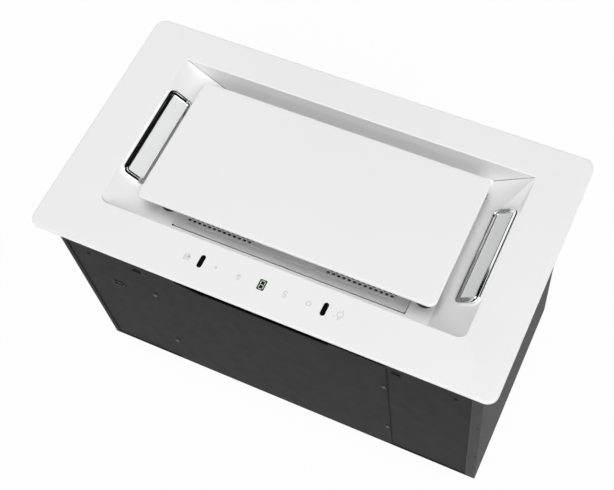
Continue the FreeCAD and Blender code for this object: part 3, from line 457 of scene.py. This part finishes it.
def opal():
    f = Finish("opal_lens", (0.87, 0.875, 0.875), 0.4, Specular_IOR_Level=0.3)
    f.vary_colour(f.noise(12.0, 2.0), (0.84, 0.846, 0.848), (0.885, 0.89, 0.89))
    return f.bump(f.noise(600.0, 2.0), 0.05, 0.0001).material


def brushed(name, colour, roughness, along=(1, 1, 1), metallic=1.0):
    f = Finish(name, colour, roughness, metallic)
    lines = f.noise(900.0, 4.0, along)
    f.vary_colour(lines, toned(colour, 0.9), toned(colour, 1.06))
    f.vary_roughness(lines, roughness * 0.85, roughness * 1.2)
    return f.bump(lines, 0.08, 0.00006).material


def moulded(name, colour, roughness, grain=0.12, specular=0.5):
    f = Finish(name, colour, roughness, Specular_IOR_Level=specular)
    f.vary_colour(f.noise(40.0, 4.0), toned(colour, 0.88), toned(colour, 1.08))
    f.vary_roughness(f.noise(120.0, 3.0), roughness * 0.85, roughness * 1.15)
    return f.bump(f.noise(1500.0, 2.0), grain, 0.0001).material


def smoked_window(name, colour):
    f = Finish(name, colour, 0.3, Specular_IOR_Level=0.02)
    f.vary_colour(f.noise(90.0, 2.0), toned(colour, 0.8), toned(colour, 1.2))
    f.vary_roughness(f.noise(300.0, 2.0), 0.26, 0.34)
    return f.material


def lit_digit():
    f = Finish("lit_digit", (0.60, 0.72, 0.60), 0.4, Specular_IOR_Level=0.2,
               Emission_Color=(0.50, 0.75, 0.55, 1), Emission_Strength=0.12)
    f.vary_colour(f.noise(300.0, 2.0), (0.56, 0.68, 0.56), (0.64, 0.76, 0.64))
    return f.material


def printed_ink():
    f = Finish("printed_ink", (0.66, 0.665, 0.67), 0.5)
    f.vary_colour(f.noise(400.0, 3.0), (0.63, 0.635, 0.64), (0.69, 0.695, 0.70))
    return f.bump(f.noise(1800.0, 2.0), 0.04, 0.00005).material


def mesh_core():
    """Wire round dark cells, for the knitted core of the grease filter."""
    f = Finish("mesh_core", (0.16, 0.16, 0.165), 0.5, 0.7)
    cells = f.tree.nodes.new("ShaderNodeTexVoronoi")
    cells.feature = "DISTANCE_TO_EDGE"
    cells.inputs["Scale"].default_value = 420.0
    f.link(f.stretched((1, 0.6, 1)), cells.inputs["Vector"])
    # the middle of each cell is near-black: painted shade, the depth of the knit seen through its gaps
    f.vary_colour(cells.outputs["Distance"], (0.16, 0.16, 0.165), (0.01, 0.01, 0.01), 0.05, 0.3)
    return f.bump(cells.outputs["Distance"], 0.6, 0.0006).material


def circuit_board():
    f = Finish("circuit_board", (0.02, 0.14, 0.06), 0.35)
    f.vary_colour(f.noise(220.0, 4.0), (0.012, 0.10, 0.045), (0.035, 0.18, 0.08))
    return f.bump(f.noise(700.0, 2.0), 0.1, 0.0001).material


def foam():
    f = Finish("closed_cell_foam", (0.03, 0.03, 0.03), 0.95, Specular_IOR_Level=0.1)
    f.vary_colour(f.noise(500.0, 4.0), (0.02, 0.02, 0.02), (0.05, 0.05, 0.05))
    return f.bump(f.noise(900.0, 4.0), 0.5, 0.0004).material


FINISHES = {
    "white_paint": white_enamel(),
    "charcoal_paint": charcoal_coat("charcoal_coat", 0.026),
    "chrome": chrome(),
    "opal": opal(),
    "lamp_tray": moulded("lamp_tray", (0.74, 0.74, 0.73), 0.5),
    "aluminium": brushed("satin_aluminium", (0.80, 0.80, 0.80), 0.5, (0.08, 1, 1), 0.2),
    "aluminium_mesh": mesh_core(),
    "zinc_steel": brushed("zinc_steel", (0.46, 0.47, 0.49), 0.38),
    "bright_steel": brushed("bright_steel", (0.62, 0.62, 0.63), 0.25, (0.1, 1, 1)),
    "stainless_wire": brushed("stainless_wire", (0.66, 0.66, 0.67), 0.24, (0.05, 1, 1)),
    "dark_screw": brushed("dark_screw", (0.09, 0.09, 0.09), 0.42),
    "black_plastic": moulded("black_plastic", (0.012, 0.012, 0.013), 0.5, 0.12, 0.2),
    "window_plastic": smoked_window("sensor_window", (0.003, 0.003, 0.003)),
    "digit_plastic": lit_digit(),
    "grey_plastic": moulded("grey_plastic", (0.16, 0.165, 0.17), 0.5),
    "circuit_board": circuit_board(),
    "foam": foam(),
    "copper_iron": brushed("wound_core", (0.26, 0.15, 0.09), 0.45, (0.1, 1, 1)),
}
INK = printed_ink()
# dark grey for the beads that draw a dark line along the rear creases of the recess
CREASE_LINE = moulded("dark_crease_line", (0.20, 0.20, 0.205), 0.6, 0.1, 0.2)
OWN_FINISH = {
    "display_window": smoked_window("display_window", (0.012, 0.022, 0.013)),
    # the right side wall and its front flange get a lighter copy of the charcoal coat: painted light,
    # where that side faces the light from the right
    "casing_right": charcoal_coat("side_coat_painted_light", 0.075),
    # the filter's seat is near-black: painted shade in the gap round the filter
    "filter_seat": moulded("shadow_gap", (0.02, 0.02, 0.02), 0.8, 0.1, 0.1),
}


# ---------------------------------------------------------------- camera, floor and lights

def camera():
    data = bpy.data.cameras.new("photo_view")
    data.sensor_width = SENSOR_SIZE
    data.lens = FOCAL_LENGTH / PHOTO_WIDTH * SENSOR_SIZE
    data.shift_x = CAMERA_SHIFT[0] / PHOTO_WIDTH
    data.shift_y = CAMERA_SHIFT[1] / PHOTO_WIDTH
    data.clip_start = 0.05
    data.clip_end = 30.0
    obj = put("photo_view", data)
    obj.location = CAMERA_PLACE
    obj.rotation_euler = [math.radians(a) for a in CAMERA_TURN]
    bpy.context.scene.camera = obj


def seen_directly(tree):
    """One where a camera, mirror or glass ray meets the surface."""
    path = tree.nodes.new("ShaderNodeLightPath")
    found = path.outputs["Is Camera Ray"]
    for kind in ("Is Glossy Ray", "Is Transmission Ray"):
        either = tree.nodes.new("ShaderNodeMath")
        either.operation = "MAXIMUM"
        tree.links.new(found, either.inputs[0])
        tree.links.new(path.outputs[kind], either.inputs[1])
        found = either.outputs[0]
    return found


def mixed(tree, factor, first, second, end):
    """Show the first shader where the factor is nought and the second where it is one."""
    mix = tree.nodes.new("ShaderNodeMixShader")
    tree.links.new(factor, mix.inputs["Fac"])
    tree.links.new(first, mix.inputs[1])
    tree.links.new(second, mix.inputs[2])
    tree.links.new(mix.outputs[0], tree.nodes[end].inputs["Surface"])


def studio_floor():
    """A pale floor that mostly shows as plain white and still takes a faint shadow."""
    deselect()
    bpy.ops.mesh.primitive_plane_add(size=FLOOR_SIZE, location=(0, 0, cad_bounds[0][2] - FLOOR_GAP))
    floor = bpy.context.object
    floor.name = "studio_floor"
    material = surface("studio_floor", (0.9, 0.9, 0.9), 0.8, Specular_IOR_Level=0.1)
    tree = material.node_tree
    glow = tree.nodes.new("ShaderNodeEmission")
    glow.inputs["Strength"].default_value = 1.0
    part = tree.nodes.new("ShaderNodeMath")
    part.operation = "MULTIPLY"
    part.inputs[1].default_value = FLOOR_WHITE
    tree.links.new(seen_directly(tree), part.inputs[0])
    shader = tree.nodes["Principled BSDF"]
    mixed(tree, part.outputs[0], shader.outputs[0], glow.outputs[0], "Material Output")
    floor.data.materials.append(material)


def studio_world():
    """A faint even light that shows as plain white where it is seen directly."""
    world = bpy.data.worlds.new("studio_world")
    bpy.context.scene.world = world
    world.use_nodes = True
    tree = world.node_tree
    faint = tree.nodes["Background"]
    plain = tree.nodes.new("ShaderNodeBackground")
    for background, strength in ((faint, SKY), (plain, 1.0)):
        background.inputs["Color"].default_value = (1, 1, 1, 1)
        background.inputs["Strength"].default_value = strength
    mixed(tree, seen_directly(tree), faint.outputs[0], plain.outputs[0], "World Output")


def softbox(name, place, target, power, size):
    data = bpy.data.lights.new(name, "AREA")
    data.energy = power
    data.size = size
    obj = put(name, data)
    obj.location = place
    obj.rotation_euler = facing(Vector(place) - Vector(target))


def sun(name, towards, strength, softness):
    data = bpy.data.lights.new(name, "SUN")
    data.energy = strength
    data.angle = math.radians(softness)
    obj = put(name, data)
    obj.rotation_euler = facing(towards)


def dark_card(name, place, towards, width, height):
    """An upright black card that only mirror-like surfaces see."""
    deselect()
    bpy.ops.mesh.primitive_plane_add(size=1, location=place)
    card = bpy.context.object
    card.name = name
    card.scale = (width, height, 1)
    card.rotation_euler = facing(towards)
    card.data.materials.append(surface(name, (0.01, 0.01, 0.01), 1.0, Specular_IOR_Level=0.0))
    card.visible_camera = False
    card.visible_diffuse = False
    card.visible_shadow = False
    card.visible_transmission = False


# ---------------------------------------------------------------- fitting a piece to the frame

shown = set()    # nodes that a piece stands for so far


def finish_piece(obj, body, material, replaces=()):
    obj.data.materials.clear()
    obj.data.materials.append(material)
    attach(obj, body)
    if replaces:
        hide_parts(*replaces)
    return obj


def made(obj, node):
    """Give a piece the body, slot and finish of the node that it stands for."""
    shown.add(node)
    slot = SLOT_OF[node]
    return finish_piece(obj, BODY_OF[node], OWN_FINISH.get(node, FINISHES[slot]), [node])


def redo(node):
    """A node's own mesh, with its flat faces whole and its curves shaded smoothly."""
    obj = put(node + "_made", frame["nodes"][node].data.copy())
    edit(obj)
    bpy.ops.mesh.select_all(action="SELECT")
    bpy.ops.mesh.remove_doubles(threshold=MERGE_WITHIN * MM)
    bpy.ops.mesh.dissolve_limited(angle_limit=math.radians(FLAT_WITHIN))
    leave_edit()
    if node in SHEET_EDGES:
        return made(smooth(ease_edges(obj), EASED_ANGLE), node)
    return made(smooth(obj, CURVE_ANGLE), node)


# ---------------------------------------------------------------- pieces modelled by hand

def centre_panel():
    """Folded sheet: a rounded slab, hollowed from below."""
    obj = slab("centre_panel_made", 0, RECESS_Y, PANEL_WIDTH, PANEL_SPAN, 0.0, PANEL_TOP,
               PANEL_CORNER, steps=10)
    round_rim(obj, PANEL_TOP, PANEL_RIM, steps=5)
    hollow(obj, 0.0, PANEL_SHEET, PANEL_TOP - PANEL_SHEET)
    return made(smooth(obj, angle=32), "centre_panel")


def onto_slope(obj, side):
    """Lay a piece that was made flat about the origin on the slope of one side."""
    middle = LAMP_BELOW_EDGE + LAMP_WIDTH / 2
    x = RECESS_X + side * (RECESS_HALF - middle * math.cos(SLOPE))
    z = FACE_TOP - middle * math.sin(SLOPE)
    obj.location = (x * MM, LAMP_Y * MM, z * MM)
    obj.rotation_euler = (0, -side * SLOPE, 0)
    return apply_place(obj)


def lamp(side, word):
    """Chrome ring with a channel along its bars, and the lens that it holds."""
    bezel = slab("lamp_bezel_made_" + word, 0, 0, LAMP_WIDTH, LAMP_LENGTH, 0.0, LAMP_THICK,
                 LAMP_CORNER, steps=8)
    open_frame(bezel, 0.0, LAMP_THICK, LAMP_BAR)
    round_rim(bezel, LAMP_THICK, LAMP_RIM, steps=5)
    edit(bezel)
    select_where(bezel, "FACE", lambda f: flat_at(f, LAMP_THICK))
    bpy.ops.mesh.inset(thickness=CHANNEL_LAND * MM)
    bpy.ops.mesh.inset(thickness=CHANNEL_SIDE * MM)
    bpy.ops.transform.translate(value=(0, 0, -CHANNEL_DEPTH * MM))
    leave_edit()
    made(smooth(onto_slope(bezel, side), angle=40), "lamp_bezel_" + word)
    bars = 2 * (LAMP_BAR - LENS_LAP)
    lens = slab("lamp_lens_made_" + word, 0, 0, LAMP_WIDTH - bars, LAMP_LENGTH - bars, 0.0, LENS_THICK,
                LENS_CORNER, steps=6)
    round_rim(lens, LENS_THICK, LENS_RIM, steps=2)
    made(smooth(onto_slope(lens, side), angle=40), "lamp_lens_" + word)


def windows():
    for side, word in ((-1, "left"), (1, "right")):
        obj = slab("sensor_window_made_" + word, CONTROL_X + side * SENSOR_X, CONTROL_Y,
                   SENSOR_WIDTH, SENSOR_SPAN, WINDOW_FOOT, FACE_TOP, SENSOR_CORNER, steps=10)
        round_rim(obj, FACE_TOP, SENSOR_RIM, steps=2)
        made(smooth(obj, angle=40), "sensor_window_" + word)
    obj = slab("display_window_made", CONTROL_X, CONTROL_Y, DISPLAY_WIDTH, DISPLAY_SPAN,
               WINDOW_FOOT, DISPLAY_TOP, DISPLAY_CORNER, steps=4)
    round_rim(obj, DISPLAY_TOP, DISPLAY_RIM, steps=2)
    made(smooth(obj, angle=40), "display_window")


def digit():
    """Seven bars with their corners cut, as a display shows an eight."""
    reach, bar = DIGIT_REACH, DIGIT_BAR
    flat = [(0, step * DIGIT_PITCH, reach, bar) for step in (-1, 0, 1)]
    upright = [(side * (reach + bar + DIGIT_GAP) / 2, step * DIGIT_PITCH / 2, bar, reach)
               for side in (-1, 1) for step in (-1, 1)]
    bars = [slab("bar", CONTROL_X + x, CONTROL_Y + y, width, span, DISPLAY_TOP, DIGIT_TOP,
                 DIGIT_CUT, steps=1) for x, y, width, span in flat + upright]
    return made(join("display_segments_made", bars), "display_segments")


def catches():
    """Black sockets on the recess floor that take the panel's studs."""
    top = FLOOR_Z + CATCH_HEIGHT
    pieces = []
    for side in (-1, 1):
        foot = (RECESS_X + side * CATCH_X, CATCH_Y, FLOOR_Z)
        obj = drum("catch", CATCH_RADIUS, CATCH_HEIGHT, foot, sides=48)
        round_rim(obj, top, CATCH_RIM, steps=3)
        pieces.append(hollow(obj, top, SOCKET_WALL, -SOCKET_DEPTH))
    return made(smooth(join("panel_catches_made", pieces), angle=35), "panel_catches")


def bead(name, start, end, radius):
    """Fine rounded line from one point to another."""
    run = Vector(end) - Vector(start)
    obj = drum(name, radius, run.length, (0, 0, 0), sides=8)
    round_rim(obj, run.length, radius * 0.6, steps=2)
    obj.rotation_euler = facing(run)
    obj.location = Vector(start) * MM
    return apply_place(obj)


def crease_lines():
    """Dark grey beads in the folded corners of the pressing, where its slopes meet the rear wall, each
    drawing a dark line along its crease.
    """
    # both ends stop a little short, of the face's edge and of the floor
    y = REAR_WALL - CREASE_LINE_SUNK
    pieces = []
    for side in (-1, 1):
        top = (RECESS_X + side * (RECESS_HALF - 1.2), y, FACE_TOP - 1.2)
        foot = (RECESS_X + side * (RECESS_HALF - SLOPE_RUN + 0.5), y, FLOOR_Z + 0.4)
        pieces.append(bead("crease_bead", top, foot, CREASE_LINE_RADIUS))
    return finish_piece(join("recess_crease_lines", pieces), BODY_OF["face_plate"], CREASE_LINE)


# ---------------------------------------------------------------- perforated screen

def hole_cell():
    """The sheet round one oval hole: a ring of twelve faces that meets its neighbours point to point."""
    deselect()
    bpy.ops.mesh.primitive_circle_add(vertices=12, radius=1.0, fill_type="NOTHING")
    obj = bpy.context.object
    apply_place(obj)
    edit(obj)
    select_where(obj, "EDGE", lambda e: True)
    bpy.ops.mesh.extrude_region_move(TRANSFORM_OT_translate={"value": (0, 0, 0)})
    bm = bmesh.from_edit_mesh(obj.data)
    for vert in bm.verts:
        co = vert.co
        if not vert.select:
            co.x *= HOLE_X * MM
            co.y *= HOLE_Y * MM
            continue
        # twelfths of a turn away from the Y axis, from 0 to 3
        step = round(math.degrees(math.atan2(abs(co.x), abs(co.y))) / 30)
        co.x = math.copysign(min(step, 2) * HOLE_PITCH / 4 * MM, co.x)
        if step < 3:
            co.y = math.copysign(ROW_PITCH / 2 * MM, co.y)
    bmesh.update_edit_mesh(obj.data)
    face_outwards()
    leave_edit()
    return obj


def screen():
    """Sheet with two fields of staggered holes and a plain band between them."""
    z = SCREEN_Z
    y0, y1 = RECESS_Y - ROWS / 2 * ROW_PITCH, RECESS_Y + ROWS / 2 * ROW_PITCH
    low, high = RECESS_Y - SCREEN_HALF_SPAN, RECESS_Y + SCREEN_HALF_SPAN
    half = HOLE_PITCH / 2
    width = (HOLES + 0.5) * HOLE_PITCH
    pieces = []
    edges = [RECESS_X - SCREEN_HALF]
    for side in (-1, 1):
        left = RECESS_X + side * FIELD_X - FIELD_LEFT
        edges += [left, left + width]
        for row in (0, 1):
            foot = y0 + row * ROW_PITCH
            cell = hole_cell()
            cell.location = ((left + half + row * half) * MM, (foot + ROW_PITCH / 2) * MM, z * MM)
            apply_place(cell)
            repeat(cell, HOLES, (HOLE_PITCH, 0, 0))
            pieces.append(repeat(cell, ROWS // 2, (0, 2 * ROW_PITCH, 0)))
            x = left if row else left + width - half
            filler = sheet("filler", x, x + half, foot, foot + ROW_PITCH, z, 2, 2)
            pieces.append(repeat(filler, ROWS // 2, (0, 2 * ROW_PITCH, 0)))
    edges.append(RECESS_X + SCREEN_HALF)
    for index, (x0, x1) in enumerate(zip(edges, edges[1:])):
        plain = index % 2 == 0
        across = 1 if plain else round(width / (HOLE_PITCH / 4))
        if plain:
            pieces.append(sheet("band", x0, x1, y0, y1, z, 1, 2 * ROWS))
        pieces.append(sheet("margin", x0, x1, low, y0, z, across))
        pieces.append(sheet("margin", x0, x1, y1, high, z, across))
    obj = join("filter_screen_made", pieces)
    edit(obj)
    bpy.ops.mesh.select_all(action="SELECT")
    bpy.ops.mesh.remove_doubles(threshold=2 * TOUCH * MM)
    face_outwards()
    leave_edit()
    thicken(obj, SCREEN_SHEET)
    return made(smooth(obj, angle=30), "filter_screen")


# ---------------------------------------------------------------- printed marks

def disc(x, y, radius, sides=24):
    deselect()
    bpy.ops.mesh.primitive_circle_add(vertices=sides, radius=radius * MM, fill_type="NGON",
                                      location=(x * MM, y * MM, PRINT_Z * MM))
    return apply_place(bpy.context.object)


def ring(x, y, outer, inner):
    obj = disc(x, y, outer, 28)
    edit(obj)
    bpy.ops.mesh.select_all(action="SELECT")
    bpy.ops.mesh.inset(thickness=(outer - inner) * MM)
    bpy.ops.mesh.delete(type="FACE")
    leave_edit()
    return obj


def stroke(x, y, width, span):
    return sheet("stroke", x - width / 2, x + width / 2, y - span / 2, y + span / 2, PRINT_Z)


def letter_s(x, y, size, line):
    """Two rings, one above the other and each with a quarter cut away, that join as an S."""
    pieces = []
    for turn in (1, -1):
        obj = ring(0, 0, size, size - line)
        edit(obj)
        select_where(obj, "FACE", lambda f: f.calc_center_median().x * turn > 0.2 * size * MM
                     and f.calc_center_median().y * turn < 0.0)
        bpy.ops.mesh.delete(type="FACE")
        leave_edit()
        obj.location = (x * MM, (y + turn * (size - line / 2)) * MM, 0)
        pieces.append(apply_place(obj))
    return pieces


def icons():
    """Generic marks printed along the controls, from the left one to the right one."""
    y = ICON_Y
    # a list of five lines, with a bar on its left and a dot on it
    marks = [stroke(LIST_X, y - 3.4 + 1.7 * step, 6.4 - 0.6 * step, LINE) for step in range(5)]
    marks += [stroke(LIST_X - 3.1, y - 0.2, LINE, 7.0), disc(LIST_X + 2.0, y + 0.6, 1.3)]
    marks += [disc(DOT_X, y, 1.5)]
    # a dial: a ring with a dot inside, over a stroke
    marks += [ring(DIAL_X, y, 2.4, 1.7), disc(DIAL_X - 0.8, y + 0.6, 1.0)]
    marks += [stroke(DIAL_X, y - 3.3, 4.4, FINE_LINE)]
    marks += letter_s(LETTER_X, y, 2.2, 0.9)
    marks += [ring(RING_X, y, 3.0, 1.9)]
    # a bulb: a ring over two strokes, with a dot on its left and one above
    marks += [ring(BULB_X, y + 1.0, 3.6, 2.7), stroke(BULB_X, y - 3.3, 3.4, LINE)]
    marks += [stroke(BULB_X, y - 4.7, 2.4, FINE_LINE)]
    marks += [disc(BULB_X - 5.6, y - 2.8, 0.8), disc(BULB_X + 1.3, y + 5.8, 0.8)]
    return finish_piece(thicken(join("printed_icons", marks), PRINT_THICK), "casing", INK)


# ---------------------------------------------------------------- the scene

camera()
studio_floor()
studio_world()
sun("top_light", (0.05, -0.10, 0.99), TOP_LIGHT, softness=28)
sun("front_light", (0.36, -0.66, 0.66), FRONT_LIGHT, softness=40)
softbox("right_light", (0.75, -0.1, 1.1), (0.1, 0, 0), RIGHT_LIGHT, size=0.9)
dark_card("rear_card", (0.9, 1.0, 1.65), (0, -1, 0), width=3.4, height=3.0)
dark_card("left_card", (-1.6, 0.34, 0.2), (1, 0, 0), width=1.08, height=1.0)

centre_panel()
lamp(-1, "left")
lamp(1, "right")
windows()
digit()
catches()
screen()
crease_lines()
icons()
for node in frame["nodes"]:
    if node not in shown:
        redo(node)

bpy.context.scene.view_settings.view_transform = "Standard"
